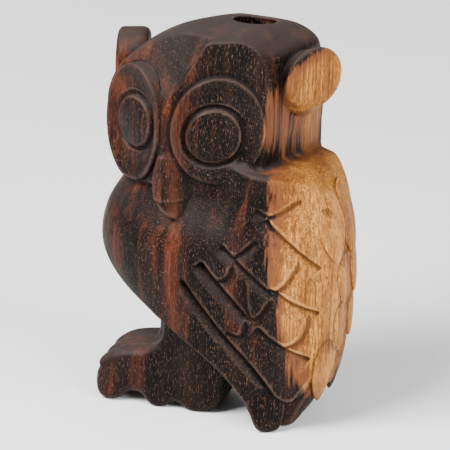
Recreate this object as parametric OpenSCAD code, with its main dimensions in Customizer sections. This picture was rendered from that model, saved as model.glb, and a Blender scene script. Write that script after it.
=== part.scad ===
// Carved wooden owl, one block of two-tone hardwood.
//
// Every node is one member of the carving, bounded by the lines that a knife leaves between
// members, so neighbours share a face and nothing is loose. The three blanks (body, head, feet)
// are each the overlap of outlines sawn from different sides, which is how such a block is
// roughed out. Origin: on the ground, under the middle of the overall box. +Z is up, the breast
// and toes point to -X, the tail to +X, and the left wing is on the -Y side.

/* [Overall] */
// Height from the ground to the crown
total_h = 100; // [84:1:120]
// Length of the body from breast to back
body_l = 64; // [54:1:76]
// Width of the body across both wings
body_w = 40; // [34:1:48]

/* [Head] */
// Width of the head across the cheeks
head_w = 47; // [40:1:56]
// Depth of the head from nose ridge to nape
head_d = 39.5; // [34:1:46]
// Turn of the head from the breast toward the left wing, in degrees
head_turn = 79; // [70:1:90]
// Sweep of each eye disc back from the nose ridge, in degrees
face_sweep = 20; // [14:1:24]
// Radius of each pupil
pupil_r = 7; // [5.5:0.1:8]
// Radius of each ear
ear_r = 6.9; // [5.5:0.1:8]
// Thickness of each ear
ear_t = 7; // [6:0.1:9]
// Sweep of each ear's flat face away from the front of the face, in degrees
ear_sweep = 25; // [15:1:30]

/* [Blow hole] */
// Diameter of the hole drilled down from the crown
hole_d = 11; // [8:0.5:12]
// Depth of the hole below the crown
hole_depth = 30; // [20:1:32]

/* [Feet] */
// Width of the foot block across its three toes
foot_w = 19.5; // [16:0.5:24]
// Height of the toes at the knuckle
toe_h = 15; // [12:0.5:18]

/* [Hidden] */

$fn = 64;
heartwood = "#3b2119";
redwood = "#5a2d20";
sapwood = "#c8984c";

// The outlines below are drawn at the default sizes and stretched by these factors.
kx = body_l / 64;
ky = body_w / 40;
kz = total_h / 100;
ku = head_w / 47;
kf = head_d / 39.5;
kt = toe_h / 15;
far = 3 * max(total_h, body_l);

// Where the members meet.
neck_z = 68 * kz;
wing_y = 9 * ky;
back_x = 20 * kx;
tail_z = 9 * kz;
tail_y1 = 5 * ky;
tail_y2 = 13.5 * ky;
toe_x = -13.5 * kx;

// Head frame: x is sideways on the face, -y is forward out of the face.
head_x = -6.4 * kx;
eye_u = 11.4 * ku;
eye_z = 78.3 * kz;
disc_ru = 12.4 * ku;
disc_rz = 14.2 * kz;
disc_t = 5;
pupil_t = 3.2;
pupil_dome = 1;
disc_front = 19.6 * kf - 0.9 * eye_u * tan(face_sweep);
ear_u = 24 * ku;
ear_f = -9.2 * kf;
ear_z = 86.5 * kz;
ear_edge = 2.2;
hole_x = head_x + 10.4;
hole_y = 8;

// The origin is under the middle of the box, which runs from the tip of the right ear to the
// back, so the carving is moved along x by half the difference of those two reaches.
turn_left = 90 - head_turn;
right_ear_x = head_x - ear_u * cos(turn_left) - ear_f * sin(turn_left);
right_ear_reach = (ear_r - ear_edge) * cos(turn_left + ear_sweep)
    + (ear_t / 2 - ear_edge) * sin(turn_left + ear_sweep) + ear_edge;
shift_x = -(right_ear_x - right_ear_reach + 32 * kx) / 2;

// ---- outlines -------------------------------------------------------------------------------

// A point on the smooth curve between b and c, and the curve through a whole list of points
function between(a, b, c, d, t) =
    0.5 * (2 * b + (c - a) * t + (2 * a - 5 * b + 4 * c - d) * t * t
    + (3 * b - a - 3 * c + d) * t * t * t);
function curve(p, n = 4) = concat(
    [for (i = [0:len(p) - 2], k = [0:n - 1])
        between(p[max(i - 1, 0)], p[i], p[i + 1], p[min(i + 2, len(p) - 1)], k / n)],
    [p[len(p) - 1]]);
function flipped(p) = [for (i = [len(p) - 1:-1:0]) [-p[i].x, p[i].y]];
function both_sides(p) = concat(p, flipped(p));
function swapped(p) = [for (i = [len(p) - 1:-1:0]) [p[i].y, p[i].x]];
function stretched(p, sx, sy) = [for (q = p) [q.x * sx, q.y * sy]];
function ellipse(rx, ry, n = 40) =
    [for (i = [0:n - 1]) [rx * cos(360 * i / n), ry * sin(360 * i / n)]];

// Body seen from its left side, as x and z: up the back, over the shoulder, down the breast
back_line = curve([[22.5, 0], [27, 8], [30.5, 20], [32, 36], [31.4, 52], [29, 63], [25, 69]]);
breast_line = curve([[-18, 69], [-25, 60], [-29.5, 52], [-31.8, 41], [-28, 31], [-20, 26.5],
    [-12, 25.5], [0, 19], [7.5, 13], [12.5, 5.5], [15.5, 0]]);
body_side = stretched(concat(back_line, breast_line), kx, kz);
// Body seen from behind and from above, right half only
body_rear = both_sides(stretched(
    curve([[18.6, 0], [18.8, 12], [19.6, 28], [20, 42], [19.2, 55], [17, 64], [12, 70]]), ky, kz));
body_plan = swapped(both_sides(stretched(
    curve([[0, -32], [7, -29.5], [13.5, -22], [18, -10], [20, 4], [19, 18], [15, 27], [9, 31.7],
    [0, 32]]), ky, kx)));
// Head seen from above, from the front and from its side
head_plan = both_sides(stretched(
    curve([[0, -19.7], [11, -15.9], [20, -11.9], [23.2, -7], [23.5, 2], [20.5, 12.5], [12, 18],
    [0, 19]]), ku, kf));
head_front = both_sides(stretched(
    curve([[16, 60], [20.5, 66], [23, 74], [23.5, 82], [22.5, 90], [18, 96.4], [9, 99.5],
    [0, 100]]), ku, kz));
head_side = stretched(concat([[-19.8, 60]], curve([[-19.8, 88], [-16.5, 93.5], [-10, 98],
    [0, 100], [12, 98.6], [18, 93], [19.8, 84]]), [[19, 60]]), kf, kz);
// Lines across a wing, as x and z: its front edge, the foot of the coverts, the top of the
// long primary feather
wing_front = stretched([[8, 75], [1, 56], [-7, 44], [-15, 33], [-24, 20]], kx, kz);
covert_foot = stretched([[-7, 44], [4, 46.5], [9.5, 42], [17.5, 35.5], [20, 36.8], [30, 30],
    [45, 26]], kx, kz);
primary_top = stretched([[-15, 33], [-5.2, 32.4], [6.2, 18], [16.2, 8.6], [27, -2]], kx, kz);
// Foot and leg seen from the left side: knuckle, ankle, shin, heel and the wavy sole
foot_side = stretched(concat(
    curve([[-14.3, 17.6], [-19, 16.2], [-25, 15], [-29.3, 11.5], [-29.2, 8.8], [-30, 7], [-29.4, 2],
    [-27.3, 0]]),
    [[-25.3, 0]],
    curve([[-25.3, 0], [-22.5, 1.6], [-19.5, 2.4], [-17, 1.5], [-15.4, 0]]),
    [[-13, 0]],
    curve([[-13, 0], [-11.3, 1], [-9, 1.5], [-6.8, 1], [-5.2, 0]]),
    [[-2.2, 0]],
    curve([[-2.2, 0], [1.6, 1.6], [3.2, 5], [4.6, 11], [6.5, 19]]),
    [[6.5, 34], [-12.5, 34]],
    curve([[-12.5, 24], [-12.8, 20.5], [-14.3, 17.6]])), kx, kz * kt);

// A quarter turn of an ear's soft rim, from the angle a0, as radius and height
function rim_arc(a0, z) = [for (a = [a0:15:a0 + 90])
    [ear_r - ear_edge + ear_edge * cos(a), z + ear_edge * sin(a)]];

// ---- blanks and cutters ---------------------------------------------------------------------

// An outline of x and z pushed along y, and one of y and z pushed along x
module sawn_from_side(outline, length = far) {
    rotate([90, 0, 0])
        linear_extrude(height = length, center = true)
            polygon(outline);
}

module sawn_from_front(outline, length = far) {
    rotate([90, 0, 90])
        linear_extrude(height = length, center = true)
            polygon(outline);
}

module placed() {
    translate([shift_x, 0, 0])
        children();
}

module in_head_frame() {
    translate([head_x, 0, 0])
        rotate([0, 0, head_turn - 90])
            children();
}

module body_blank() {
    intersection() {
        sawn_from_side(body_side);
        sawn_from_front(body_rear);
        linear_extrude(height = neck_z)
            polygon(body_plan);
    }
}

module head_blank() {
    in_head_frame()
        intersection() {
            linear_extrude(height = far)
                polygon(head_plan);
            sawn_from_side(head_front);
            sawn_from_front(head_side);
        }
}

module foot_blank() {
    difference() {
        sawn_from_side(foot_side, foot_w);
        body_blank();
    }
}

// Everything above the neck line, or below it
module above_neck() {
    translate([-far / 2, -far / 2, neck_z])
        cube(far);
}

module below_neck() {
    translate([-far / 2, -far / 2, neck_z - far])
        cube(far);
}

// One slab of the block, from y0 to y1
module slab(y0, y1) {
    translate([-far / 2, y0, -far / 2])
        cube([far, y1 - y0, far]);
}

// side is -1 for the left of the carving and +1 for its right
module wing_slab(side) {
    if (side < 0)
        slab(-far, -wing_y);
    else
        slab(wing_y, far);
}

module below_tail_line() {
    translate([0, -far / 2, tail_z - far])
        cube(far);
}

module wing_zone(side) {
    difference() {
        intersection() {
            sawn_from_side(concat(wing_front, [[far, -far], [far, 75 * kz]]));
            wing_slab(side);
        }
        below_tail_line();
    }
}

module covert_zone() {
    sawn_from_side(concat(covert_foot, [[far, far], [-far, far], [-far, 44 * kz]]));
}

module primary_zone() {
    sawn_from_side(concat(primary_top, [[27 * kx, -far], [-far, -far], [-far, 33 * kz]]));
}

module back_zone() {
    difference() {
        translate([back_x, -wing_y, 0])
            cube([far, 2 * wing_y, far]);
        below_tail_line();
    }
}

// The place of an eye, with its axis pointing out of the face. face_side is +1 for the owl's
// left eye, which is on the right when the face is seen from the front.
module at_eye(face_side) {
    in_head_frame()
        translate([face_side * eye_u, -disc_front, eye_z])
            rotate([90, 0, face_side * face_sweep])
                children();
}

module eye_disc_solid(face_side) {
    at_eye(face_side)
        translate([0, 0, -disc_t])
            linear_extrude(height = disc_t)
                polygon(ellipse(disc_ru, disc_rz));
}

module pupil_solid(face_side) {
    at_eye(face_side)
        translate([0, -1.4 * kz, -pupil_t])
            rotate_extrude()
                polygon(concat([[0, 0], [pupil_r, 0]],
                    [for (a = [0:15:90]) [pupil_r * cos(a), pupil_t + pupil_dome * sin(a)]]));
}

module face_middle() {
    in_head_frame()
        translate([0, -far / 2, 0])
            cube([far, far, far]);
}

// One disc each side; where they would meet at the nose ridge, each stops at the ridge plane
module eye_disc_half(face_side) {
    if (face_side > 0)
        intersection() {
            eye_disc_solid(face_side);
            face_middle();
        }
    else
        difference() {
            eye_disc_solid(face_side);
            face_middle();
        }
}

module both_discs() {
    eye_disc_half(1);
    eye_disc_half(-1);
}

// Seen from the front the beak is a narrow wedge, seen from the side it is a low hook
module beak_solid() {
    beak_front = stretched([[-3.6, 71], [-1.3, 55.2], [1.3, 55.2], [3.6, 71]], ku, kz);
    beak_side = stretched([[-13, 71], [-17.6, 71], [-19.8, 66], [-20.3, 60], [-19.6, 55.2],
        [-13, 55.2]], kf, kz);
    in_head_frame()
        intersection() {
            sawn_from_side(beak_front);
            sawn_from_front(beak_side);
        }
}

// The foot of the nose, between the discs and above the neck line, belongs to the beak
module nose_zone() {
    in_head_frame()
        intersection() {
            sawn_from_side(stretched([[-7, 66], [7, 66], [1, 77], [-1, 77]], ku, kz));
            translate([-far / 2, -far - 13.5 * kf, 0])
                cube(far);
        }
}

module brow_zone(face_side) {
    in_head_frame()
        intersection() {
            sawn_from_side(stretched(
                [[face_side * 1.2, 84], [face_side * 25, 84], [face_side * 25, 101],
                [face_side * 7.5, 101]], ku, kz));
            translate([-far / 2, -far - 7 * kf, 0])
                cube(far);
        }
}

// The V between the brows, sloping back as it rises to the crown
module forehead_notch() {
    in_head_frame()
        translate([0, -17.4 * kf, 87 * kz])
            rotate([-28, 0, 0])
                sawn_from_side(stretched([[0, 0], [7.5, 16], [-7.5, 16]], ku, kz), 7 * kf);
}

module blow_hole() {
    translate([hole_x, hole_y, total_h - hole_depth])
        cylinder(d = hole_d, h = hole_depth + 1);
}

module ear_solid(face_side) {
    in_head_frame()
        translate([face_side * ear_u, -ear_f, ear_z])
            rotate([-90, 0, face_side * ear_sweep])
                translate([0, 0, -ear_t / 2])
                    rotate_extrude()
                        polygon(concat([[0, 0]],
                            rim_arc(-90, ear_edge), rim_arc(0, ear_t - ear_edge),
                            [[0, ear_t]]));
}

// The neck drops straight from the head onto the shoulders
module neck_blank() {
    in_head_frame()
        intersection() {
            translate([0, 0, 57 * kz])
                linear_extrude(height = neck_z - 57 * kz)
                    polygon(stretched(head_plan, 0.86, 0.86));
            sawn_from_side(head_front);
        }
}

// ---- members of the body --------------------------------------------------------------------

module torso() {
    color(redwood)
        difference() {
            union() {
                body_blank();
                neck_blank();
            }
            wing_zone(-1);
            wing_zone(1);
            back_zone();
            below_tail_line();
            both_discs();
            beak_solid();
        }
}

module back_feathers() {
    color(sapwood)
        intersection() {
            body_blank();
            back_zone();
        }
}

module coverts(side) {
    color(sapwood)
        difference() {
            intersection() {
                body_blank();
                wing_zone(side);
                covert_zone();
            }
            both_discs();
            beak_solid();
        }
}

module wing_feathers(side) {
    color(sapwood)
        difference() {
            intersection() {
                body_blank();
                wing_zone(side);
            }
            covert_zone();
            primary_zone();
        }
}

module primary(side) {
    color(heartwood)
        intersection() {
            body_blank();
            wing_zone(side);
            primary_zone();
        }
}

module tail_feather(y0, y1) {
    color(heartwood)
        intersection() {
            body_blank();
            below_tail_line();
            slab(y0, y1);
        }
}

// ---- members of the head --------------------------------------------------------------------

module head() {
    color(heartwood)
        difference() {
            intersection() {
                head_blank();
                above_neck();
            }
            both_discs();
            nose_zone();
            beak_solid();
            brow_zone(1);
            brow_zone(-1);
            forehead_notch();
            blow_hole();
        }
}

module brow(face_side) {
    color(heartwood)
        difference() {
            intersection() {
                head_blank();
                brow_zone(face_side);
            }
            eye_disc_half(face_side);
            forehead_notch();
        }
}

module eye_disc(face_side) {
    color(heartwood)
        difference() {
            eye_disc_half(face_side);
            pupil_solid(face_side);
        }
}

module pupil(face_side) {
    color(redwood)
        pupil_solid(face_side);
}

module beak() {
    color(heartwood)
        difference() {
            union() {
                beak_solid();
                intersection() {
                    head_blank();
                    above_neck();
                    nose_zone();
                }
            }
            both_discs();
        }
}

module ear(face_side) {
    color(face_side > 0 ? sapwood : heartwood)
        difference() {
            ear_solid(face_side);
            head_blank();
        }
}

// ---- members of the feet --------------------------------------------------------------------

module leg(side) {
    color(redwood)
        intersection() {
            foot_blank();
            translate([toe_x, side < 0 ? -far : 0, -far / 2])
                cube(far);
        }
}

module toe(y0, y1) {
    color(redwood)
        intersection() {
            foot_blank();
            translate([toe_x - far, y0, -far / 2])
                cube([far, y1 - y0, far]);
        }
}

placed() torso();
placed() back_feathers();
placed() coverts(-1);  // left_coverts
placed() wing_feathers(-1);  // left_wing_feathers
placed() primary(-1);  // left_primary
placed() coverts(1);  // right_coverts
placed() wing_feathers(1);  // right_wing_feathers
placed() primary(1);  // right_primary
placed() tail_feather(-far / 2, -tail_y2);  // left_outer_tail_feather
placed() tail_feather(-tail_y2, -tail_y1);  // left_tail_feather
placed() tail_feather(-tail_y1, tail_y1);  // middle_tail_feather
placed() tail_feather(tail_y1, tail_y2);  // right_tail_feather
placed() tail_feather(tail_y2, far / 2);  // right_outer_tail_feather
placed() head();
placed() brow(1);  // left_brow
placed() brow(-1);  // right_brow
placed() eye_disc(1);  // left_eye_disc
placed() eye_disc(-1);  // right_eye_disc
placed() pupil(1);  // left_pupil
placed() pupil(-1);  // right_pupil
placed() beak();
placed() ear(1);  // left_ear
placed() ear(-1);  // right_ear
placed() leg(-1);  // left_leg
placed() leg(1);  // right_leg
placed() toe(-foot_w / 2, -foot_w / 6);  // left_toe
placed() toe(-foot_w / 6, foot_w / 6);  // middle_toe
placed() toe(foot_w / 6, foot_w / 2);  // right_toe
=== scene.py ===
# %% [markdown]
# # A carved wooden owl, worked like the carver works it
#
# The real owl is one block of hardwood. A carver saws the block to a rough outline, rounds it,
# then sets in every line with a knife: the rims of the eyes, the brows, the feathers, the toes.
# This script follows the same order. The solid is held as a *field*: a number for every point
# in space, negative inside the wood and positive outside, measured in millimetres. Rounding is
# a soft minimum or maximum of fields, and a knife cut is a small amount added along a line.
#
# Because every member of the owl (a wing row, a toe, an eye disc) is cut from the same field,
# neighbours flow into one another as they do in one piece of wood.

import math

import bpy
import numpy as np
import openvdb
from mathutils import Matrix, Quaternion, Vector


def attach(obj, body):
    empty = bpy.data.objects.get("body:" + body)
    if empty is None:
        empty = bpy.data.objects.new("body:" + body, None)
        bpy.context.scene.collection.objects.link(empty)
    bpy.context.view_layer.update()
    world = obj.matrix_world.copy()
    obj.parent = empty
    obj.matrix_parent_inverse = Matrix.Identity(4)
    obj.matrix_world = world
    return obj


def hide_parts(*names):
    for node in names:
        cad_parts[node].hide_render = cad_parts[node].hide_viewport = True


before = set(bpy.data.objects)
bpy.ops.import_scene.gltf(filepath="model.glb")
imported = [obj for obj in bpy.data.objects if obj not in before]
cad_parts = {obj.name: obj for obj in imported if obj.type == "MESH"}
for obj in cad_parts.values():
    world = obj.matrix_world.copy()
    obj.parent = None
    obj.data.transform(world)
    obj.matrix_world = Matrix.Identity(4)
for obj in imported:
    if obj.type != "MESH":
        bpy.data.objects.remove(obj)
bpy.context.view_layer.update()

MM = 0.001
SHIFT_X = 1.485                      # from the owl's upright axis to the middle of its box, mm
CELL = 0.36   # size of one field cell, mm

# %% [markdown]
# ## Soft cuts and soft joins
# `join` adds wood and `trim` takes it away. Both leave a round of the given size where the two
# surfaces meet, as sandpaper does, and a size near zero leaves the crisp line of a knife.

# %% Field helpers
def join(a, b, soft=0.01):
    near = np.maximum(soft - np.abs(a - b), 0) / soft
    return np.minimum(a, b) - near * near * soft / 4


def trim(a, b, soft=0.01):
    near = np.maximum(soft - np.abs(a - b), 0) / soft
    return np.maximum(a, b) + near * near * soft / 4


def ease(t):
    t = np.clip(t, 0, 1)
    return t * t * (3 - 2 * t)


def curve(*stops):
    """A smooth curve through (position, value) stops, ready to call on an array."""
    p, v = np.array(stops, float).T
    slope = np.gradient(v, p)
    fine = np.linspace(p[0], p[-1], 300)
    i = np.clip(np.searchsorted(p, fine) - 1, 0, len(p) - 2)
    gap = p[i + 1] - p[i]
    t = (fine - p[i]) / gap
    value = ((2 * t**3 - 3 * t**2 + 1) * v[i] + (t**3 - 2 * t**2 + t) * gap * slope[i]
             + (3 * t**2 - 2 * t**3) * v[i + 1] + (t**3 - t**2) * gap * slope[i + 1])
    return lambda q: np.interp(q, fine, value).astype(np.float32)


def outline_distance(points, x, z):
    """Signed distance to a closed outline, negative inside."""
    best = np.full(np.broadcast(x, z).shape, 1e9, np.float32)
    inside = np.zeros(best.shape, bool)
    for (ax, az), (bx, bz) in zip(points, points[1:] + points[:1]):
        if (ax, az) == (bx, bz):
            continue
        t = np.clip(((x - ax) * (bx - ax) + (z - az) * (bz - az))
                    / ((bx - ax)**2 + (bz - az)**2), 0, 1)
        best = np.minimum(best, np.hypot(x - ax - t * (bx - ax), z - az - t * (bz - az)))
        crosses = (az > z) != (bz > z)
        with np.errstate(divide="ignore", invalid="ignore"):
            at = ax + (z - az) * (bx - ax) / (bz - az)
        inside ^= crosses & (x < at)
    return np.where(inside, -best, best)


def line_distance(points, x, z):
    """Distance to an open line, the side it lies on (+1 left of its direction), and how far
    along it the nearest point is, 0 to 1."""
    best = np.full(np.broadcast(x, z).shape, 1e9, np.float32)
    side = np.zeros_like(best)
    along = np.zeros_like(best)
    pieces = list(zip(points, points[1:]))
    for k, ((ax, az), (bx, bz)) in enumerate(pieces):
        t = np.clip(((x - ax) * (bx - ax) + (z - az) * (bz - az))
                    / ((bx - ax)**2 + (bz - az)**2), 0, 1)
        d = np.hypot(x - ax - t * (bx - ax), z - az - t * (bz - az))
        closer = d < best
        turn = (bx - ax) * (z - az) - (bz - az) * (x - ax)
        side = np.where(closer, np.sign(turn), side)
        along = np.where(closer, (k + t) / len(pieces), along)
        best = np.minimum(best, d)
    return best, side, along


def rounded(points, passes=2):
    """Corner cutting: an outline or line with its corners eased."""
    for _ in range(passes):
        cut = [points[0]]
        for (ax, az), (bx, bz) in zip(points, points[1:]):
            cut += [(0.75 * ax + 0.25 * bx, 0.75 * az + 0.25 * bz),
                    (0.25 * ax + 0.75 * bx, 0.25 * az + 0.75 * bz)]
        points = cut + [points[-1]]
    return points


print("a 1 mm round adds", round(1 - float(join(1.0, 1.0, 1.0)), 2), "mm where two faces meet")

# %% [markdown]
# ## The body
# From above, the breast is half an ellipse and the back is squarer, with a soft corner where
# the side of each wing turns onto the back. Both change with height.

# %% Body outlines
BACK = curve((-2, 21), (0, 22), (8, 27), (20, 30.8), (30, 31.8), (42, 32.1), (52, 31.4), (60, 30.4),
             (70, 30))
BREAST = curve((0, 17), (20, 18), (27, 22.4), (32, 27.2), (37, 30.2), (42, 31.4), (47, 31.2),
               (52, 29.8), (57, 27), (62, 23.5), (70, 18))
HALF_WIDTH = curve((-2, 19.4), (0, 19.5), (12, 19.2), (28, 19.7), (40, 20), (50, 19.4), (56, 18.4),
                   (62, 17.4), (70, 16.5))
SQUARENESS = curve((0, 4.6), (12, 3.8), (30, 3.3), (60, 3.1), (70, 3))
THROAT = 3.8              # how far the sides draw in under the chin
HOLLOW = 3.0              # how far the belly is scooped upward, mm
SHOULDER = 68.5           # height of the body where the head sits on it
LOWER_EDGE = curve((-34, 44), (-30, 37.5), (-24, 32.2), (-20, 30), (-14, 27.2), (-9, 24.8),
                   (-4, 21.8), (1, 18.4), (6.6, 13.6), (10, 9.6), (13, 4.6), (15.5, -1), (18, -8))


def body_field(x, y, z):
    throat = THROAT * ease((13 - x) / 11) * ease((z - 44) / 19)
    across = np.abs(y) / (HALF_WIDTH(z) - throat)
    back_half = (np.abs(x) / BACK(z)) ** SQUARENESS(z) + across ** SQUARENESS(z)
    front_half = (np.abs(x) / BREAST(z)) ** 2 + across ** 2
    size = np.where(x > 0, np.maximum(back_half, 1e-9) ** (1 / SQUARENESS(z)),
                    np.sqrt(front_half))
    reach = np.sqrt(x * x + y * y) + 0.01
    side = reach * (1 - 1 / np.maximum(size, 0.02))
    hollow = HOLLOW * np.maximum(1 - (y / 16) ** 2, 0)
    under = (LOWER_EDGE(x) + hollow - z) * 0.8
    top = z - (SHOULDER - 0.004 * (x * x + y * y) - 0.35 * np.maximum(x - 24, 0) ** 1.7)
    return trim(trim(side, under, 0.8), top * 0.8, 1.2)


print("body 40 mm up:", round(float(BACK(40) + BREAST(40)), 1), "mm long,",
      round(float(2 * HALF_WIDTH(40)), 1), "mm wide")


# %% [markdown]
# ## Feathers
# A feather is set in with a knife line and then the wood beyond the line is pared down, so the
# line is a small step with a long slope behind it. Each line below is drawn on the flat side of
# the wing, as (back from the middle, up from the ground). The pared side is on the left of the
# line's direction, or on its right where `flip` is -1.

# %% Feather lines
# (points, depth of the cut, length of the pared slope, flip)
WING_LINES = [
    ([(-5.6, 38.6), (-3.2, 35.3), (0.5, 30.6), (4.9, 25.3), (12, 18.4), (16.8, 12.6), (19.6, 8)],
     2.4, 2.3, -1),
    ([(-0.8, 43.8), (0.6, 42.0), (3.8, 38.4), (8.4, 33.8), (12.0, 29.6)], 2.8, 3.0, -1),
    ([(11, 30.4), (11.3, 27), (10.9, 25.4), (9.2, 24.8), (6.4, 26.0)], 1.2, 3, 1),
    ([(4.2, 48.6), (7.8, 45.6), (10.3, 43.2), (15.4, 39.0), (18.4, 36.2)], 1.9, 2.8, -1),
    ([(7.6, 45.6), (10.4, 47.5), (13.6, 50.8)], 1.3, 2.4, -1),
    ([(7.8, 45.4), (7.6, 42), (6, 39.6), (3.4, 39)], 1.2, 2.8, 1),
    ([(10.8, 41.3), (11, 36), (11.4, 32.6), (12.8, 29.6), (15.8, 31.4), (18.0, 36.4)],
     1.3, 3.4, -1),
    ([(15.4, 56.6), (16.5, 54.6), (19.9, 51.6), (23, 48.8), (28.8, 43.2)], 2.1, 4.4, -1),
    ([(24, 47.9), (23.5, 43.7), (21.2, 39.7), (18.8, 37.6), (16.8, 38.6)], 1.5, 3.8, 1),
    ([(18.6, 38.2), (20.6, 36.2), (22.8, 34.8), (28.8, 31.6)], 2.0, 4.4, -1),
    ([(26.2, 33.2), (26.4, 28), (24.2, 24.0), (20.8, 22.8)], 1.5, 3.8, 1),
    ([(14.2, 28.2), (17, 25.4), (20.8, 22.8), (27, 19.6)], 2.0, 4.4, -1),
    ([(16.2, 13.0), (18.8, 9.4), (22.4, 7.4), (25.4, 9.4), (27.6, 13.5)], 1.6, 10.0, -1),
    ([(12.5, 58.5), (15.4, 56.6), (18.5, 57.5), (23.5, 61.5)], 1.3, 3.4, -1),
]


def cut_depth(x, z, lines):
    depth = np.zeros(np.broadcast(x, z).shape, np.float32)
    for points, deep, slope, flip in lines:
        d, side, along = line_distance(rounded(points), x, z)
        pared = np.where(side * flip > 0, slope, 1.1)
        tip = ease(np.minimum(along, 1 - along) * 5 + 0.25)
        wall = np.clip(1 - d / pared, 0, 1)
        depth = np.maximum(depth, deep * tip * wall ** 1.35)
    return depth


def feather_cuts(x, y, z):
    on_side = ease((np.abs(y) - 8.5) / 5)
    return cut_depth(x, z, WING_LINES) * on_side


print(len(WING_LINES), "feather lines, cut up to", max(line[1] for line in WING_LINES), "mm deep")


# %% [markdown]
# ## The tail tips
# Below the last scale the block ends in five rounded feather tips side by side. They carry the
# owl's weight together with the soles. A carver divides them with a V tool, drawn downwards, and
# rounds each end with a knife, so the creases deepen and widen towards the ground.

# %% Tail
TIP_EDGES = (-13.5, -5, 5, 13.5)


def tail_cuts(x, y, z):
    depth = np.zeros(np.broadcast(x, y, z).shape, np.float32)
    for edge in TIP_EDGES:
        crease = np.clip(1 - np.abs(y - edge) / 1.9, 0, 1) ** 1.2
        depth = np.maximum(depth, 2.3 * crease * ease((15 - z) / 8) * ease((x - 12) / 5))
    return depth


def tip_bottoms(y):
    """Height of the rounded end of each tip above the ground."""
    edges = (-19.5, *TIP_EDGES, 19.5)
    rise = np.full(y.shape, 9.0, np.float32)
    for a, b in zip(edges, edges[1:]):
        off = (y - (a + b) / 2) / ((b - a) / 2)
        rise = np.where(np.abs(off) <= 1, 3.4 * (1 - np.sqrt(np.maximum(1 - 0.96 * off**2, 0))), rise)
    return rise


def carved_body(x, y, z):
    field = body_field(x, y, z)
    field = field + np.minimum(1.15 * feather_cuts(x, y, z), 2.8) + tail_cuts(x, y, z)
    return trim(field, tip_bottoms(y) - z, 1.6)


print(len(TIP_EDGES) + 1, "tail tips, the middle one", TIP_EDGES[2] - TIP_EDGES[1], "mm wide")


# %% [markdown]
# ## The head
# The head has its own frame: `u` runs across the face, `f` forward out of it. It is a block
# with a wedge-shaped face, so each eye disc lies on a plane swept back from the nose ridge.

# %% Head outlines
HEAD_X = -6.4
TURN = math.radians(15)
TILT = 0.07               # the head leans a little to its right
# Side 1 is the near eye and ear, on the owl's left. Side -1 is the far one.
SWEEP = {1: math.radians(27.5), -1: math.radians(21)}
NOSE_F = 18.9             # reach of the nose ridge in front of the head's middle
NOSE_U = -1.3             # the nose ridge stands a little right of the head's middle
EYE_OUT, EYE_Z = {1: 5.9, -1: 4.9}, 76.1
DISC_OUT, DISC_UP = {1: 12.0, -1: 10.5}, {1: 14.0, -1: 15.4}
DISC_MEAN = 12.6          # turns a share of a disc's radius into mm
PUPIL_R, PUPIL_OUT, PUPIL_Z = {1: 7.5, -1: 7.1}, {1: -1.1, -1: -0.3}, {1: 74.6, -1: 76.4}
CROWN, HEAD_FOOT = 99.9, 60.5         # heights of the top and the underside of the head
FACE_REACH, REAR_REACH = 25.0, 23.3   # how far the block goes forward and back


def to_head(x, y):
    dx = x - HEAD_X
    return dx * math.cos(TURN) - y * math.sin(TURN), -dx * math.sin(TURN) - y * math.cos(TURN)


CHEEK = curve((50, 14), (57, 17), (63, 20), (70, 21.8), (80, 22.3), (88, 21.8), (94, 20.2),
              (98, 18), (103, 13))


def head_block(u, f, z):
    half = CHEEK(z)
    half = half + np.maximum(22 - half, 0) * ease((6 - f) / 10) * ease((97 - z) / 5)
    half = half - np.where(u < 0, 3.6, 0.0) * ease((75 - z) / 10)
    rear = REAR_REACH - 3.6 * ease((z - 84) / 12)
    deep = np.where(f > -3, FACE_REACH, rear)
    size = ((np.abs(u) / half) ** 7 + (np.abs(f + 3) / deep) ** 7) ** (1 / 7)
    reach = np.sqrt(u * u + (f + 3) ** 2) + 0.01
    side = reach * (1 - 1 / np.maximum(size, 0.02))
    bow = 0.0075 + 0.0105 * ease(-u / 9)
    crown = z - (CROWN - 0.025 * np.minimum(u, 0) ** 2 - 0.004 * np.maximum(u - 6, 0) ** 2
                 - bow * f * f)
    return trim(side, crown * 0.93, 4.4)


def face_plane(u, f, side):
    """Height above one face plane, and distance outward along it from the eye's middle."""
    sweep = SWEEP[side]
    across = (u - NOSE_U) * side
    return (across * math.sin(sweep) + (f - NOSE_F) * math.cos(sweep),
            across * math.cos(sweep) - f * math.sin(sweep) - EYE_OUT[side])


def eye_disc(above, out, z, side):
    ring = np.sqrt((out / DISC_OUT[side]) ** 2 + ((z - EYE_Z) / DISC_UP[side]) ** 2)
    radius = PUPIL_R[side]
    pupil = np.sqrt((out - PUPIL_OUT[side]) ** 2 + (z - PUPIL_Z[side]) ** 2) / radius
    dish = -1.2 * ease((0.97 - ring) / 0.3)
    groove = -1.1 * np.clip(1 - np.abs(pupil - 1.02) * radius / 0.9, 0, 1)
    dome = 1.5 * np.sqrt(np.maximum(1 - pupil**2, 0))
    surface = above - dish - groove - dome
    rim = (ring - 1) * DISC_MEAN
    return trim(trim(rim, surface, 0.8), -above - 9, 0.5)


def head_field(u, f, z_world):
    z = z_world - TILT * u
    block = head_block(u, f, z)
    left, left_out = face_plane(u, f, 1)
    right, right_out = face_plane(u, f, -1)
    plane = trim(left, right, 2.5)
    out = np.where(u > NOSE_U, left_out, right_out)
    recess = 2.0 - 1.4 * ease((out - 3) / 9) * ease((88 - z) / 8)
    recess = recess - 1.3 * ease((3.5 - np.abs(u - NOSE_U)) / 3.5) * ease((86 - z) / 8)
    block = trim(block, plane + recess, 0.9)
    block = trim(block, notch_cut(u, f, z), 0.5)
    near_disc = np.maximum(eye_disc(left, left_out, z, 1), NOSE_U - u)
    far_disc = np.maximum(eye_disc(right, right_out, z, -1), u - NOSE_U)
    return np.minimum(block, np.minimum(near_disc, far_disc))


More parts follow.
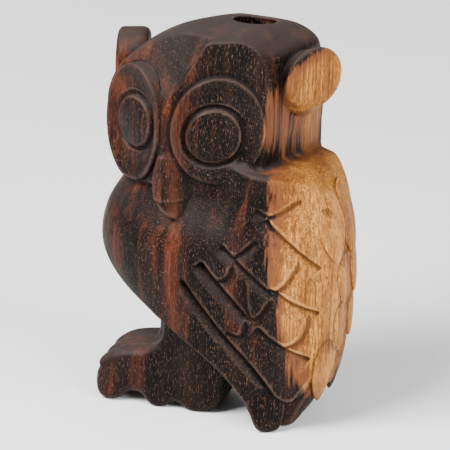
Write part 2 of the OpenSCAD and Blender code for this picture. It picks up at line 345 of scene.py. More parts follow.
def notch_cut(u, f, z):
    """The V between the brows: a flat facet that leans back, ending crisply at the near brow."""
    facet = (f - 16.4 + 0.55 * (z - 84) - 0.10 * u) * 0.87
    wall = (1.6 + 0.52 * (z - 87.6) - u) * 0.87
    wall = np.maximum(wall, -facet - 30)
    return np.minimum(facet, wall)


print("head turned", round(90 - math.degrees(TURN)), "degrees to the owl's left,",
      round(float(2 * CHEEK(80)), 1), "mm across the cheeks")

# %% [markdown]
# ## Ears, beak and the hole
# The ears are short round stubs left standing at the head's two corners. They point outward and
# forward, and their faces are dished by the knife. The beak is a long hooked wedge that grows out
# of the ridge between the eyes. Its right cheek is a clean upright cut, and its left cheek runs
# out softly. The opening in the crown is taken to be a drilled hole, so it is made as a true
# circle. Its width and depth are assumed.

# %% Ears, beak, hole
EAR_ANGLE = math.radians(63)     # how far outward from straight ahead each ear points
EAR_RISE = {1: math.radians(22), -1: 0.0}      # and how far upward
EAR_END = {1: (28.9, -6.2, 88.0), -1: (29.5, -5.7, 85.6)}
EAR_HALF_WIDTH = 8.0
EAR_R, EAR_ROOT = {1: 7.9, -1: 7.5}, {1: 12, -1: 8.5}   # half height, length
BEAK_TOP, BEAK_TIP = 78, 53.4
HOLE_X, HOLE_Y, HOLE_R, HOLE_FLOOR = 4.0, 8.0, 5.5, 70


def ear_field(u, f, z_world, side):
    end_u, end_f, end_z = EAR_END[side]
    du, df, dz = u * side - end_u, f - end_f, z_world - TILT * u - end_z
    flat = du * math.sin(EAR_ANGLE) + df * math.cos(EAR_ANGLE)
    across = du * math.cos(EAR_ANGLE) - df * math.sin(EAR_ANGLE)
    up = dz - flat * math.tan(EAR_RISE[side])
    ring = np.sqrt((across / EAR_HALF_WIDTH) ** 2 + (up / EAR_R[side]) ** 2)
    ring = (ring - 1) * EAR_R[side] - 0.2 * np.maximum(-flat, 0) * ease(-up / 6)
    face = flat + 0.008 * (across**2 + dz**2)
    return trim(trim(ring, face, 1.5), -flat - EAR_ROOT[side], 2.5)


def beak_field(u, f, z):
    """A hooked wedge off the nose: crisp on its right cheek, run out softly on its left."""
    u = u - NOSE_U
    t = np.clip((70 - z) / 15, 0, 1)
    ridge = 0.4 + 0.9 * t
    left_edge = -0.9 - 1.5 * np.sin(np.pi * np.clip(t * 1.1, 0, 1)) + 3.6 * ease((58 - z) / 4.5)
    run_out = np.maximum(u - ridge, 0)
    front = (18.4 + 1.5 * t - 0.30 * np.maximum(ridge - u, 0) - 0.40 * run_out
             - 0.16 * run_out**2 - 0.55 * np.maximum(z - 69, 0))
    step = 0.5 * ease((58.2 - z) / 0.6)
    tip = BEAK_TIP + 0.10 * np.maximum(4.5 - u, 0) ** 1.5 - z
    blade = trim((left_edge - u) * 0.92, f - front + step, 0.7)
    blade = np.maximum(blade, 10 - f)
    return trim(trim(trim(blade, tip, 1.0), u - 8, 0.5), z - BEAK_TOP, 0.5)


def crown_hole(x, y, z):
    return np.maximum(np.hypot(x - HOLE_X, y - HOLE_Y) - HOLE_R, HOLE_FLOOR - z)


print("near ear", 2 * EAR_R[1], "mm across; hole", 2 * HOLE_R, "mm across")


# %% [markdown]
# ## Feet
# Both legs and the three toes are one block. The side view was sawn first: heel, arch and toes
# follow one wavy line, so the sole touches the ground on three lobes. The toes were then parted
# with two cuts from the front, and the legs rounded up into the body.

# %% Foot block
FOOT_SIDE = (
    [(-12.6, 34), (-12.6, 24)]
    + rounded([(-12.6, 24), (-12.9, 17.4), (-16, 15.2), (-20, 14.8), (-25, 13.8), (-28.6, 11.4),
               (-30, 9.4), (-29.4, 8.3), (-30.2, 7.2), (-30.4, 3), (-29.2, 0.4), (-26.3, -0.35),
               (-23.6, 0.6), (-21.6, 2.7), (-18.6, 2.8), (-16.6, 0.7), (-14.1, -0.35),
               (-11.8, 0.4), (-10, 1.9), (-8, 1.6), (-6.2, 0.2), (-3.7, -0.35), (0, 0.5),
               (2.4, 3), (3.6, 7), (4.7, 11.2), (6, 18)])
    + [(6, 34)]
)
TOES = (-6.5, 0.0, 6.5)
TOE_HALF, FOOT_HALF = 3.3, 9.75
LEGS = ((-4.6, -5.0, 8.6, 5.2), (-6.4, 3.6, 10.6, 6.2))   # middle x, y, half length, half width


def foot_field(x, y, z):
    side = outline_distance(FOOT_SIDE, x, z)
    toes = 1e9
    for middle in TOES:
        toes = np.minimum(toes, trim(side, np.abs(y - middle) - TOE_HALF, 3.6))
    block = trim(trim(side, np.abs(y) - FOOT_HALF, 2.5), (-17 - x) * 0.6, 2.0)
    foot = join(toes, block, 1.2)
    left_leg, right_leg = [
        (np.hypot((x - at_x) / half_x, (y - at_y) / half_y) - 1) * (half_y + 1)
        for at_x, at_y, half_x, half_y in LEGS]
    legs = join(left_leg, right_leg, 0.5)
    legs = np.maximum(legs, 9 - z)
    legs = np.maximum(legs, z - 34)
    return join(foot, legs, 1.5)


print(len(TOES), "toes,", TOES[1] - TOES[0], "mm from one to the next")

# %% [markdown]
# ## The whole carving
# Now the parts are joined, in the order in which the carver frees them from the block. The
# ears are cut off flat where they would pass the far face of the sawn block.

# %% The whole carving in one field
BLOCK_Y = 20.3            # the far face of the sawn block; nothing can stand out past it
HEAD_Y = 19.8             # the head's far corner is rounded to just inside that face


def carving(x, y, z):
    u, f = to_head(x, y)
    head = np.maximum(head_field(u, f, z), HEAD_FOOT - z)
    head = trim(head, y - HEAD_Y, 3.0)
    whole = join(carved_body(x, y, z), head, 1.6)
    whole = join(whole, beak_field(u, f, z), 0.7)
    for side in (1, -1):
        ear = trim(ear_field(u, f, z, side), y - BLOCK_Y, 2.0)
        whole = join(whole, ear, 0.9)
    whole = join(whole, foot_field(x, y, z), 0.8)
    whole = np.maximum(whole, -crown_hole(x, y, z))
    return np.maximum(whole, -z)


LOW, HIGH = (-34.0, -22.0, -1.5), (34.5, 23.0, 101.5)   # corners of the grid, mm
counts = [int(math.ceil((b - a) / CELL)) + 1 for a, b in zip(LOW, HIGH)]
line_x, line_y, line_z = [LOW[i] + CELL * np.arange(counts[i], dtype=np.float32) for i in range(3)]
X, Y, Z = line_x[:, None, None], line_y[None, :, None], line_z[None, None, :]
wood = np.broadcast_to(carving(X, Y, Z), counts).astype(np.float32)
print("field:", counts, "cells of", CELL, "mm")

# %% [markdown]
# ## Members
# On the real owl the members are bounded by knife lines. Here each member takes the part of the
# field inside its own region. A member listed earlier wins where two regions meet. Past its
# border each member sinks a little under its neighbour, so the wood reads as one block.

# %% Regions of the members
WING_FRONT = ([20, 33, 44, 56, 75], [-24, -15, -7, 1, 8])            # height, x
COVERT_FOOT = ([-7, 4, 9.5, 17.5, 20, 30, 45], [44, 46.5, 42, 35.5, 36.8, 30, 26])
PRIMARY_TOP = ([-15, -5.2, 6.2, 16.2, 27, 34], [33, 32.4, 18, 8.6, -2, -9])
NECK, TAIL_TOP, WING_Y, BACK_X, TOE_X, TOE_Y = 68, 9, 9, 20, -13.5, 3.25

U, F = to_head(X, Y)
HEAD_Z = Z - TILT * U


def face_regions(side):
    """(pupil, disc, brow, ear) regions on one side of the face."""
    above, out = face_plane(U, F, side)
    pupil = np.sqrt((out - PUPIL_OUT[side]) ** 2 + (HEAD_Z - PUPIL_Z[side]) ** 2)
    disc = np.sqrt((out / DISC_OUT[side]) ** 2 + ((HEAD_Z - EYE_Z) / DISC_UP[side]) ** 2)
    own_side = (NOSE_U - U) * side
    pupil = np.maximum(pupil - PUPIL_R[side], -above - 4)
    disc = np.maximum(np.maximum((disc - 1) * DISC_MEAN, -above - 6), own_side)
    brow = np.maximum(np.maximum(84 - HEAD_Z, 5 - F), own_side)
    ear = np.maximum(np.maximum(21 - U * side, np.abs(F + 4) - 11), np.abs(HEAD_Z - 85) - 13)
    return pupil, disc, brow, ear


def band(low, high):
    return np.maximum(low - Y, Y - high)


def wing_regions(side):
    """(primary, covert, middle feathers) on one side; side -1 is the owl's left."""
    front = np.interp(line_z, *WING_FRONT)[None, None, :].astype(np.float32) - X
    covert_foot = np.interp(line_x, *COVERT_FOOT)[:, None, None].astype(np.float32)
    primary_top = np.interp(line_x, *PRIMARY_TOP)[:, None, None].astype(np.float32)
    wing = np.maximum(np.maximum(WING_Y - side * Y, Z - NECK), TAIL_TOP - Z)
    primary = np.maximum(wing, (Z - primary_top) * 0.75)
    rest = np.maximum(wing, front)
    return primary, np.maximum(rest, (covert_foot - Z) * 0.85), rest


near, far = face_regions(1), face_regions(-1)
left, right = wing_regions(-1), wing_regions(1)
foot = np.maximum(foot_field(X, Y, Z) - 0.4, -carved_body(X, Y, Z) - 1.0)
toes = np.maximum(foot, X - TOE_X)
tail = np.maximum(Z - TAIL_TOP, 4 - X)
REGIONS = [
    ("left_pupil", near[0]), ("right_pupil", far[0]),
    ("left_eye_disc", near[1]), ("right_eye_disc", far[1]),
    ("beak", np.maximum(beak_field(U, F, Z) - 0.3, Z - BEAK_TOP + 1)),
    ("left_ear", near[3]), ("right_ear", far[3]),
    ("left_brow", near[2]), ("right_brow", far[2]),
    ("head", NECK - Z + 0 * X),
    ("left_toe", np.maximum(toes, Y + TOE_Y)), ("middle_toe", np.maximum(toes, np.abs(Y) - TOE_Y)),
    ("right_toe", np.maximum(toes, TOE_Y - Y)),
    ("left_leg", np.maximum(foot, Y + 0 * Z)), ("right_leg", foot),
    ("left_outer_tail_feather", np.maximum(tail, band(-30, TIP_EDGES[0]))),
    ("left_tail_feather", np.maximum(tail, band(*TIP_EDGES[0:2]))),
    ("middle_tail_feather", np.maximum(tail, band(*TIP_EDGES[1:3]))),
    ("right_tail_feather", np.maximum(tail, band(*TIP_EDGES[2:4]))),
    ("right_outer_tail_feather", np.maximum(tail, band(TIP_EDGES[3], 30))),
    ("left_primary", left[0]), ("right_primary", right[0]),
    ("left_coverts", left[1]), ("right_coverts", right[1]),
    ("left_wing_feathers", left[2]), ("right_wing_feathers", right[2]),
    ("back_feathers", np.maximum(np.maximum(BACK_X - X, np.abs(Y) - WING_Y), Z - NECK)),
    ("torso", np.full((1, 1, 1), -50.0)),
]
print(len(REGIONS), "members")

# %% [markdown]
# ## Worn edges, darker cuts and the sapwood
# Two numbers go on every point of a piece for the wood material to read. `wear` is positive on
# edges, which hands polish pale, and negative in cuts and hollows, which the material makes darker.
# `sap` is the distance into the honey-coloured sapwood, which runs down one corner of the block.

# %% Wear and sapwood
SAP_EDGE = curve((0, 26), (5, 25), (23, 20.8), (38, 17), (53, 14.5), (62, 14), (67, 12.4),
                 (74, 11.2), (80, 11.2), (88, 12.2), (93, 15), (98, 20), (104, 27))
SAP_SLANT, SAP_Y = 0.22, -18          # the border falls back by this much for each mm past SAP_Y
DARK_FOOT = 7.0                       # no sapwood below this height, mm
WEAR_REACH, WEAR_FULL = 0.8, 0.25     # how far an edge is felt, and the bulge that counts as 1


def box_blur(a, cells):
    for axis in range(3):
        total = np.cumsum(np.concatenate([np.repeat(a.take([0], axis), cells + 1, axis), a,
                                          np.repeat(a.take([-1], axis), cells, axis)], axis),
                          axis, dtype=np.float64)
        n = a.shape[axis]
        top = total.take(range(2 * cells + 1, 2 * cells + 1 + n), axis)
        a = ((top - total.take(range(n), axis)) / (2 * cells + 1)).astype(np.float32)
    return a


clipped = np.clip(wood, -4, 4)
wear_field = box_blur(clipped, max(1, round(WEAR_REACH / CELL))) - clipped
print("wear field from", round(float(wear_field.min()), 2), "to", round(float(wear_field.max()), 2))


def mark(mesh, added_from=None):
    """Writes wear and sap on every point of a mesh. Points from `added_from` on stand on the
    field's surface, so their wear comes from how far out they stand."""
    place = np.empty(len(mesh.vertices) * 3, np.float32)
    mesh.vertices.foreach_get("co", place)
    place = place.reshape(-1, 3) / MM - np.array([SHIFT_X, 0, 0])
    cell = [np.clip(((place[:, i] - LOW[i]) / CELL).round().astype(int), 0, counts[i] - 1)
            for i in range(3)]
    wear = np.clip(wear_field[cell[0], cell[1], cell[2]] / WEAR_FULL, -1, 1)
    if added_from is not None:
        stands_out = np.clip(wood[cell[0], cell[1], cell[2]][added_from:] / 0.5, 0, 1)
        wear[:added_from] *= 0.3
        wear[added_from:] = 1.3 * stands_out - 0.8
    sap = place[:, 0] - SAP_EDGE(place[:, 2]) - SAP_SLANT * (place[:, 1] - SAP_Y)
    sap = sap - 30 * ease((DARK_FOOT - place[:, 2]) / 4)
    for name, values in (("wear", wear), ("sap", np.clip(sap / 10, -3, 3))):
        layer = mesh.attributes.new(name, "FLOAT", "POINT")
        layer.data.foreach_set("value", values.astype(np.float32))


# %% Pieces
SINK, OVERLAP = 0.3, 1.1   # how far a member dips, and reaches, under its neighbour, mm
SKIN = 0.03                # the dip right at the border, mm
MOST_FACES = 190_000       # triangles allowed in one piece
FAR, MARGIN = 3.0, 3       # depth of field kept round a skin, mm, and empty cells round a piece


def thin_out(piece, share):
    """Merges the flattest faces of a piece until this share of them is left."""
    fewer = piece.modifiers.new("fewer", "DECIMATE")
    fewer.ratio = share
    made = bpy.data.meshes.new_from_object(
        piece.evaluated_get(bpy.context.evaluated_depsgraph_get()))
    piece.modifiers.remove(fewer)
    made.name = piece.name
    piece.data = made


def skin(name, values):
    """A closed mesh where the values cross zero."""
    inside = np.argwhere(values < 0)
    low = np.maximum(inside.min(0) - MARGIN, 0)
    high = inside.max(0) + MARGIN + 1
    box = values[low[0]:high[0], low[1]:high[1], low[2]:high[2]]
    grid = openvdb.FloatGrid(FAR)
    grid.copyFromArray(np.ascontiguousarray(np.clip(box, -FAR, FAR)))
    points, quads = grid.convertToQuads(0.0)
    points = (points + low) * CELL + np.array(LOW) + np.array([SHIFT_X, 0, 0])
    mesh = bpy.data.meshes.new(name)
    mesh.from_pydata((points * MM).tolist(), [], quads.tolist())
    piece = bpy.data.objects.new(f"carved_{name}", mesh)
    bpy.context.scene.collection.objects.link(piece)
    if 2 * len(quads) > MOST_FACES:
        thin_out(piece, MOST_FACES / (2 * len(quads)))
    piece.data.polygons.foreach_set("use_smooth", [True] * len(piece.data.polygons))
    mark(piece.data)
    return piece


pieces = {}
claimed = np.full((1, 1, 1), 50.0, np.float32)
for name, region in REGIONS:
    own = np.maximum(region, -claimed).astype(np.float32)
    claimed = np.minimum(claimed, region).astype(np.float32)
    values = wood + SKIN * ease(own / 0.1) + SINK * ease((own - 0.5) / 0.5)
    piece = skin(name, np.maximum(values, own - OVERLAP))
    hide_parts(name)
    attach(piece, "root")
    pieces[name] = piece
print(len(pieces), "pieces,", sum(len(p.data.polygons) for p in pieces.values()), "faces")

# %% [markdown]
# ## The scales down the back
# The back is the one place where the carver repeats a single shape: rows of pointed scales, each
# row set half a scale aside from the last. So this member follows a rule, and Geometry Nodes
# apply it. Each scale is a flattened, pointed blank. A ray finds the surface of the back for it,
# it turns to face outward there, and its upper end leans into the wood.

# %% Short calls for nodes
class Graph:
    """Short calls for nodes: numbers, colours or other nodes' outputs as inputs."""

    def __init__(self, tree):
        self.tree = tree

    def node(self, kind, out=0, inputs=(), **options):
        made = self.tree.nodes.new(kind)
        for key, value in options.items():
            setattr(made, key, value)
        for key, value in dict(inputs).items():
            if isinstance(value, bpy.types.NodeSocket):
                self.tree.links.new(value, made.inputs[key])
            else:
                made.inputs[key].default_value = value
        return made.outputs[out]

    def math(self, operation, a, b=0.0):
        return self.node("ShaderNodeMath", 0, {0: a, 1: b}, operation=operation)

    def vector(self, x=0.0, y=0.0, z=0.0):
        return self.node("ShaderNodeCombineXYZ", 0, {0: x, 1: y, 2: z})

    def parts(self, value):
        made = self.tree.nodes.new("ShaderNodeSeparateXYZ")
        self.tree.links.new(value, made.inputs[0])
        return made.outputs

    def stretch(self, vector, scale, move=(0, 0, 0)):
        return self.node("ShaderNodeMapping", 0, {"Vector": vector, "Scale": scale, "Location": move})

    def noise(self, vector, detail=2.0, rough=0.5, distort=0.0):
        return self.node("ShaderNodeTexNoise", 0, {
            "Vector": vector, "Scale": 1.0, "Detail": detail, "Roughness": rough,
            "Distortion": distort})

    def range(self, value, low, high, to_low=0.0, to_high=1.0):
        return self.node("ShaderNodeMapRange", 0, {
            "Value": value, "From Min": low, "From Max": high, "To Min": to_low, "To Max": to_high},
            interpolation_type="SMOOTHSTEP")

    def mix(self, amount, a, b, blend="MIX"):
        made = self.tree.nodes.new("ShaderNodeMix")
        made.data_type, made.blend_type = "RGBA", blend
        for socket, value in ((made.inputs[0], amount), (made.inputs[6], a), (made.inputs[7], b)):
            if isinstance(value, bpy.types.NodeSocket):
                self.tree.links.new(value, socket)
            elif isinstance(value, tuple):
                socket.default_value = (*value, 1)
            else:
                socket.default_value = value
        return made.outputs[2]


print("short calls:", [name for name in vars(Graph) if not name.startswith("_")])

# %% Scale rows with Geometry Nodes
SCALE_INPUTS = {"Rows": 4, "Columns": 2, "Row Gap": 0.0122, "Width": 0.0104, "Length": 0.0195,
                "Thickness": 0.0026, "Lean": -0.080, "Sunk": 0.0008, "Foot": 0.0165, "Seed": 7}
RAY_START, RAY_LENGTH = 0.06, 0.05    # where the rays start behind the owl, and their reach, m
SIZE_SPREAD = (0.95, 1.06)            # smallest and largest scale against the blank


def blank_scale(g, given):
    """A ball made flat and pointed, its top leaning inward."""
    ball = g.node("GeometryNodeMeshUVSphere", 0, {"Segments": 40, "Rings": 28, "Radius": 1.0})
    at = g.parts(g.node("GeometryNodeInputPosition"))
    low_end = g.math("MAXIMUM", g.math("MULTIPLY", at[2], -1.0), 0.0)
    narrow = g.math("SUBTRACT", 1.0, g.math("MULTIPLY", g.math("POWER", low_end, 2.0), 0.42))
    half_width = g.math("MULTIPLY", given["Width"], 0.56)   # a little over half, so they overlap
    blank = g.node("GeometryNodeSetPosition", 0, {
        "Geometry": ball,
        "Position": g.vector(
            g.math("MULTIPLY", at[0], g.math("MULTIPLY", given["Thickness"], 0.5)),
            g.math("MULTIPLY", g.math("MULTIPLY", at[1], narrow), half_width),
            g.math("MULTIPLY", at[2], g.math("MULTIPLY", given["Length"], 0.5)))})
    return g.node("GeometryNodeTransform", 0, {
        "Geometry": blank, "Rotation": g.vector(0.0, given["Lean"], 0.0)})


def row_grid(g, given):
    """One flat point for each scale, and where its ray starts behind the owl. Every other row
    is set half a scale aside."""
    rows, columns = given["Rows"], given["Columns"]
    grid = g.node("GeometryNodeMeshGrid", 0, {
        "Size X": g.math("MULTIPLY", g.math("SUBTRACT", columns, 1.0), given["Width"]),
        "Size Y": g.math("MULTIPLY", g.math("SUBTRACT", rows, 1.0), given["Row Gap"]),
        "Vertices X": columns, "Vertices Y": rows})
    at = g.parts(g.node("GeometryNodeInputPosition"))
    row = g.math("ROUND", g.math("DIVIDE", at[1], given["Row Gap"]))
    aside = g.math("MULTIPLY", g.math("FLOORED_MODULO", row, 2.0),
                   g.math("MULTIPLY", given["Width"], 0.5))
    half_rise = g.math("MULTIPLY", g.math("MULTIPLY", g.math("SUBTRACT", rows, 1.0), 0.5),
                       given["Row Gap"])
    rise = g.math("ADD", given["Foot"], g.math("ADD", half_rise, at[1]))
    across = g.math("SUBTRACT", g.math("ADD", at[0], aside),
                    g.math("MULTIPLY", given["Width"], 0.25))
    return grid, g.vector(RAY_START, across, rise)


def set_on_back(g, given, grid, start):
    """Moves the points onto the back. The surface's direction is kept on each point first,
    because a ray asked for again after the move would start from somewhere else."""
    ray = g.tree.nodes.new("GeometryNodeRaycast")
    ray.data_type = "FLOAT"
    for name, value in (("Target Geometry", given["Geometry"]), ("Source Position", start)):
        g.tree.links.new(value, ray.inputs[name])
    ray.inputs["Ray Direction"].default_value = (-1, 0, 0)
    ray.inputs["Ray Length"].default_value = RAY_LENGTH
    hit = {socket.name: socket for socket in ray.outputs}
    sunk = g.node("ShaderNodeVectorMath", 0, {
        0: hit["Hit Normal"], "Scale": g.math("MULTIPLY", given["Sunk"], -1.0)}, operation="SCALE")
    missed = g.math("SUBTRACT", 1.0, hit["Is Hit"])
    kept = g.node("GeometryNodeStoreNamedAttribute", 0, {
        "Geometry": grid, "Name": "outward", "Value": hit["Hit Normal"]}, data_type="FLOAT_VECTOR")
    kept = g.node("GeometryNodeStoreNamedAttribute", 0, {
        "Geometry": kept, "Name": "missed", "Value": missed})
    return g.node("GeometryNodeSetPosition", 0, {
        "Geometry": kept, "Position": hit["Hit Position"], "Offset": sunk})


def scale_copies(g, given, points, blank):
    """A copy of the blank on every point that found the back, turned to face outward there."""
    outward = g.node("GeometryNodeInputNamedAttribute", 0, {"Name": "outward"},
                     data_type="FLOAT_VECTOR")
    found = g.math("SUBTRACT", 1.0,
                   g.node("GeometryNodeInputNamedAttribute", 0, {"Name": "missed"}))
    turn = g.node("FunctionNodeAlignRotationToVector", 0, {"Vector": outward}, axis="X",
                  pivot_axis="Z")
    turn = g.node("FunctionNodeAlignRotationToVector", 0, {"Rotation": turn, "Vector": outward},
                  axis="X", pivot_axis="Y")
    size = g.tree.nodes.new("FunctionNodeRandomValue")
    size.data_type = "FLOAT"
    size.inputs[2].default_value, size.inputs[3].default_value = SIZE_SPREAD
    g.tree.links.new(given["Seed"], size.inputs["Seed"])
    return g.node("GeometryNodeInstanceOnPoints", 0, {
        "Points": points, "Selection": found, "Instance": blank, "Rotation": turn,
        "Scale": size.outputs[1]})


def scale_tree():
    tree = bpy.data.node_groups.new("scale_rows", "GeometryNodeTree")
    face = tree.interface
    face.new_socket("Geometry", in_out="INPUT", socket_type="NodeSocketGeometry")
    for name, value in SCALE_INPUTS.items():
        kind = "NodeSocketInt" if isinstance(value, int) else "NodeSocketFloat"
        face.new_socket(name, in_out="INPUT", socket_type=kind)
    face.new_socket("Wood", in_out="INPUT", socket_type="NodeSocketMaterial")
    face.new_socket("Geometry", in_out="OUTPUT", socket_type="NodeSocketGeometry")
    g = Graph(tree)
    given = tree.nodes.new("NodeGroupInput").outputs
    points = set_on_back(g, given, *row_grid(g, given))
    scales = scale_copies(g, given, points, blank_scale(g, given))
    both = tree.nodes.new("GeometryNodeJoinGeometry")
    for part in (given["Geometry"], scales):
        tree.links.new(part, both.inputs[0])
    whole = g.node("GeometryNodeRealizeInstances", 0, {"Geometry": both.outputs[0]})
    whole = g.node("GeometryNodeSetShadeSmooth", 0, {"Geometry": whole})
    whole = g.node("GeometryNodeSetMaterial", 0, {"Geometry": whole, "Material": given["Wood"]})
    end = tree.nodes.new("NodeGroupOutput")
    tree.links.new(whole, end.inputs[0])
    return tree


# %% Give the back its scales
def carve_scales(piece, material):
    """Runs the tree on the back member and keeps its result as a plain mesh."""
    tree = scale_tree()
    base_points = len(piece.data.vertices)
    rows = piece.modifiers.new("scales", "NODES")
    rows.node_group = tree
    sockets = {s.name: s.identifier for s in tree.interface.items_tree if s.in_out == "INPUT"}
    for name, value in SCALE_INPUTS.items():
        rows[sockets[name]] = value
    rows[sockets["Wood"]] = material
    made = bpy.data.meshes.new_from_object(
        piece.evaluated_get(bpy.context.evaluated_depsgraph_get()))
    piece.modifiers.remove(rows)
    for layer in ("wear", "sap"):
        if layer in made.attributes:
            made.attributes.remove(made.attributes[layer])
    mark(made, base_points)
    made.materials.clear()
    made.materials.append(material)
    made.name = piece.name
    piece.data = made
    print("back member with its scales:", len(made.polygons), "faces")


print(SCALE_INPUTS["Rows"] * SCALE_INPUTS["Columns"], "back scales,",
      SCALE_INPUTS["Length"] * 1000, "mm long")

# %% [markdown]
# ## The wood
# One material covers every member, because they are one piece of wood. The heartwood is nearly
# black with red-brown streaks that run straight up the block. The sapwood is honey gold. In both,
# the pores run upward, so they show as short dashes on upright faces and as dots on top.

# %% Grain
# name: (pitch across, across and along the trunk, offset, detail, roughness, distortion)
GRAIN = {
    "bands": ((0.15, 0.15, 0.007), (0.9, 4.2, 0), 1.0, 0.5, 0.0),
    "stripes": ((0.50, 0.50, 0.014), (4, 8, 2), 2.0, 0.6, 0.3),
    "fibres": ((1.7, 1.7, 0.030), (7, 3, 1), 2.0, 0.6, 0.0),
    "hairs": ((5.5, 5.5, 0.10), (1, 9, 4), 2.0, 0.65, 0.0),
    "pores": ((5.6, 5.6, 0.72), (2, 5, 3), 2.0, 0.6, 0.0),
    "specks": ((4.2, 4.2, 1.2), (11, 2, 6), 1.0, 0.5, 0.0),
}


def grain(g):
    """The patterns that both woods share. The grain is bent a little before it is drawn."""
    place = g.stretch(g.node("ShaderNodeTexCoord", 3), (1000, 1000, 1000))   # in mm
    wander = g.noise(g.stretch(place, (0.05, 0.05, 0.012)), 1.0)
    shift = g.vector(g.math("MULTIPLY", wander, 9.0), g.math("MULTIPLY", wander, -7.0))
    bent = g.node("ShaderNodeVectorMath", 0, {0: place, 1: shift}, operation="ADD")
    made = {name: g.noise(g.stretch(bent, pitch, offset), *kind)
            for name, (pitch, offset, *kind) in GRAIN.items()}
    made["place"] = place
    made["clouds"] = g.noise(g.stretch(place, (0.11, 0.11, 0.05), (3, 1, 8)), 2.0, 0.5)
    redder = g.range(g.parts(place)[0], -12.0, -30.0, -0.035, 0.05)   # towards the breast
    streak = g.math("ADD", g.math("MULTIPLY", made["bands"], 0.50),
                    g.math("MULTIPLY", made["fibres"], 0.20))
    made["streak"] = g.math("ADD", g.math("ADD", streak, g.math("MULTIPLY", made["stripes"], 0.30)),
                            redder)
    return made


print(len(GRAIN), "grain patterns, pores", round(1 / GRAIN["pores"][0][0], 2), "mm across")


# %% The two woods
# Streak: colour, from black to red-brown
HEART_STOPS = {0.38: (0.0010, 0.0006, 0.0006), 0.45: (0.0022, 0.0011, 0.0009),
               0.50: (0.0070, 0.0025, 0.0017), 0.54: (0.021, 0.0057, 0.0031),
               0.59: (0.047, 0.0112, 0.0048), 0.64: (0.080, 0.0185, 0.0068)}
SAP_STOPS = {0.36: (0.115, 0.039, 0.008), 0.5: (0.31, 0.120, 0.022), 0.62: (0.53, 0.245, 0.058)}


def ramp(g, value, stops):
    """A colour from a value, through the given stops."""
    made = g.node("ShaderNodeValToRGB", 0, {"Fac": value})
    elements = made.node.color_ramp.elements
    first, *between, last = stops
    elements[0].position, elements[0].color = first, (*stops[first], 1)
    elements[1].position, elements[1].color = last, (*stops[last], 1)
    for at in between:
        elements.new(at).color = (*stops[at], 1)
    return made


def heartwood_colour(g, look):
    """Black, brown and red streaks with pale pores, and a painted grey sheen on faces that turn
    upward.
    """
    heart = g.mix(g.math("MULTIPLY", g.range(look["clouds"], 0.46, 0.68), 0.45),
                  ramp(g, look["streak"], HEART_STOPS), (0.0100, 0.0062, 0.0056))
    heart = g.mix(g.range(look["hairs"], 0.50, 0.75, 0.0, 0.5), heart, (0.0040, 0.0024, 0.0022))
    heart = g.mix(g.range(look["pores"], 0.60, 0.68, 0.0, 0.55), heart, (0.125, 0.066, 0.039))
    heart = g.mix(g.range(look["specks"], 0.66, 0.74, 0.0, 0.5), heart, (0.15, 0.085, 0.052))
    # Painted sheen: faces that turn upward are mixed towards grey, standing in for the reflection of
    # the light above.
    faces_up_painted_sheen = g.parts(g.node("ShaderNodeNewGeometry", 1))[2]
    return g.mix(g.range(faces_up_painted_sheen, 0.25, 0.95, 0.0, 0.6), heart, (0.046, 0.034, 0.030))


def sapwood_colour(g, look):
    """Honey, with brown dashes."""
    tone = g.math("ADD", g.math("MULTIPLY", look["fibres"], 0.55),
                  g.math("MULTIPLY", look["bands"], 0.45))
    gold = g.mix(g.range(look["hairs"], 0.48, 0.64, 0.0, 0.7), ramp(g, tone, SAP_STOPS),
                 (0.110, 0.036, 0.008))
    return g.mix(g.range(look["pores"], 0.54, 0.61, 0.0, 0.85), gold, (0.045, 0.017, 0.006))


print("heartwood in", len(HEART_STOPS), "tones, sapwood in", len(SAP_STOPS))


# %% Worn edges and darker cuts
def worn_edges_dark_cuts(g, look, wear, is_sap, colour):
    """Edges go pale where hands rub them, and cuts go dark. Gives the colour and the rub."""
    rub = g.math("MULTIPLY", g.range(wear, 0.25, 0.95),
                 g.range(look["clouds"], 0.35, 0.6, 0.35, 1.0))
    pale = g.mix(is_sap, (0.080, 0.046, 0.033), (0.52, 0.245, 0.07))
    dark = g.mix(is_sap, (0.0028, 0.0018, 0.0016), (0.072, 0.026, 0.008))
    colour = g.mix(g.math("MULTIPLY", rub, 0.50), colour, pale)
    # Cuts and hollows, where the wear value falls below zero, are made darker.
    darker_in_cuts = g.range(wear, -0.08, -0.65)
    return g.mix(g.math("MULTIPLY", darker_in_cuts, 0.75), colour, dark), rub


def tool_marks(g, look):
    """Knife facets a few mm wide, with the pores and fibres on top of them."""
    facets = g.noise(g.stretch(look["place"], (0.22, 0.22, 0.13), (5, 5, 5)), 2.0, 0.45)
    grooves = g.math("ADD", g.math("MULTIPLY", look["hairs"], 0.35),
                     g.math("MULTIPLY", g.range(look["pores"], 0.57, 0.66), -0.5))
    bump = g.node("ShaderNodeBump", 0, {"Height": facets, "Strength": 0.5, "Distance": 0.0011})
    return g.node("ShaderNodeBump", 0, {"Height": grooves, "Strength": 0.55, "Distance": 0.00035,
                                        "Normal": bump})


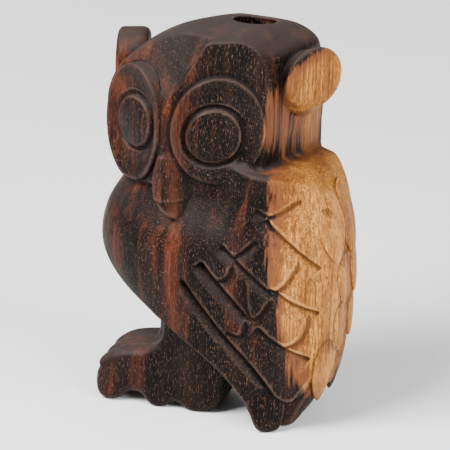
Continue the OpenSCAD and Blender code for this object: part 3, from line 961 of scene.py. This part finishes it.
def wood_material():
    made = bpy.data.materials.new("wood")
    made.use_nodes = True
    made.node_tree.nodes.clear()
    g = Graph(made.node_tree)
    look = grain(g)
    wear = g.node("ShaderNodeAttribute", 2, attribute_name="wear")
    sap = g.node("ShaderNodeAttribute", 2, attribute_name="sap")

    # The border wanders with the streaks and is stained brown for a millimetre or two
    border = g.math("ADD", g.math("MULTIPLY", sap, 10.0),
                    g.math("MULTIPLY", g.math("SUBTRACT", look["streak"], 0.5), 16.0))
    stained = g.mix(g.range(border, 0.0, 5.0), (0.110, 0.036, 0.013), sapwood_colour(g, look))
    is_sap = g.range(border, -0.9, 0.7)
    colour = g.mix(is_sap, heartwood_colour(g, look), stained)
    colour, rub = worn_edges_dark_cuts(g, look, wear, is_sap, colour)

    shine = g.math("ADD", g.range(look["clouds"], 0.3, 0.7, 0.40, 0.52),
                   g.math("MULTIPLY", g.range(look["pores"], 0.58, 0.68), 0.2))
    shine = g.math("SUBTRACT", shine, g.math("MULTIPLY", rub, 0.10))
    surface = g.node("ShaderNodeBsdfPrincipled", 0, {
        "Base Color": colour, "Roughness": shine, "Normal": tool_marks(g, look),
        "Specular IOR Level": 0.06, "Coat Weight": 0.012, "Coat Roughness": 0.25})
    end = made.node_tree.nodes.new("ShaderNodeOutputMaterial")
    made.node_tree.links.new(surface, end.inputs["Surface"])
    return made


carved_wood = wood_material()
carve_scales(pieces["back_feathers"], carved_wood)
for name, piece in pieces.items():
    if not piece.data.materials:
        piece.data.materials.append(carved_wood)
print("wood material:", len(carved_wood.node_tree.nodes), "nodes")

# %% [markdown]
# ## Camera, floor and light
# The owl is seen from its left, a little behind the shoulder and from above. A long lens keeps
# upright lines upright. It stands on plain pale paper, under one large soft light on the left
# and a weaker one on the right, so that the cuts read without hard shadows.

# %% Camera
AZ, EL, ROLL = math.radians(16), math.radians(20), math.radians(1.7)
DISTANCE, VIEW_WIDTH = 3.0, 0.1125    # m from the owl, and m seen across the picture
AIM_Z, SENSOR = 47.2, 36              # mm
camera = bpy.data.objects.new("camera", bpy.data.cameras.new("camera"))
bpy.context.scene.collection.objects.link(camera)
bpy.context.scene.camera = camera
aim = Vector((SHIFT_X * MM, 0, AIM_Z * MM))
back = Vector((math.sin(AZ) * math.cos(EL), -math.cos(AZ) * math.cos(EL), math.sin(EL)))
camera.location = aim + back * DISTANCE
camera.rotation_mode = "QUATERNION"
camera.rotation_quaternion = (-back).to_track_quat("-Z", "Y") @ Quaternion((0, 0, 1), ROLL)
camera.data.sensor_width = SENSOR
camera.data.lens = DISTANCE * SENSOR / VIEW_WIDTH
camera.data.clip_start, camera.data.clip_end = 0.05, 10
print("camera", DISTANCE, "m away, lens", round(camera.data.lens), "mm")

# %% Floor and light
# name: (place and width in m, power in W)
SOFTBOXES = {"key": ((-0.35, -0.45, 0.65), 0.45, 23), "fill": ((0.6, -0.35, 0.35), 0.5, 10)}
WORLD_LIGHT, HALF_FLOOR = 0.45, 3

floor_mesh = bpy.data.meshes.new("floor")
floor_mesh.from_pydata([(x * HALF_FLOOR, y * HALF_FLOOR, 0)
                        for x, y in ((-1, -1), (1, -1), (1, 1), (-1, 1))], [], [(0, 1, 2, 3)])
floor = bpy.data.objects.new("floor", floor_mesh)
bpy.context.scene.collection.objects.link(floor)
paper = bpy.data.materials.new("paper")
paper.use_nodes = True
paper.node_tree.nodes["Principled BSDF"].inputs["Base Color"].default_value = (0.9, 0.9, 0.9, 1)
floor_mesh.materials.append(paper)


def softbox(name, place, size, power):
    lamp = bpy.data.lights.new(name, "AREA")
    lamp.shape, lamp.size, lamp.energy = "SQUARE", size, power
    thing = bpy.data.objects.new(name, lamp)
    thing.location = place
    thing.rotation_mode = "QUATERNION"
    thing.rotation_quaternion = (Vector((0, 0, 0.05)) - Vector(place)).to_track_quat("-Z", "Y")
    bpy.context.scene.collection.objects.link(thing)


for name, settings in SOFTBOXES.items():
    softbox(name, *settings)
world = bpy.data.worlds.new("studio")
bpy.context.scene.world = world
world.use_nodes = True
world.node_tree.nodes["Background"].inputs["Color"].default_value = (1, 1, 1, 1)
world.node_tree.nodes["Background"].inputs["Strength"].default_value = WORLD_LIGHT
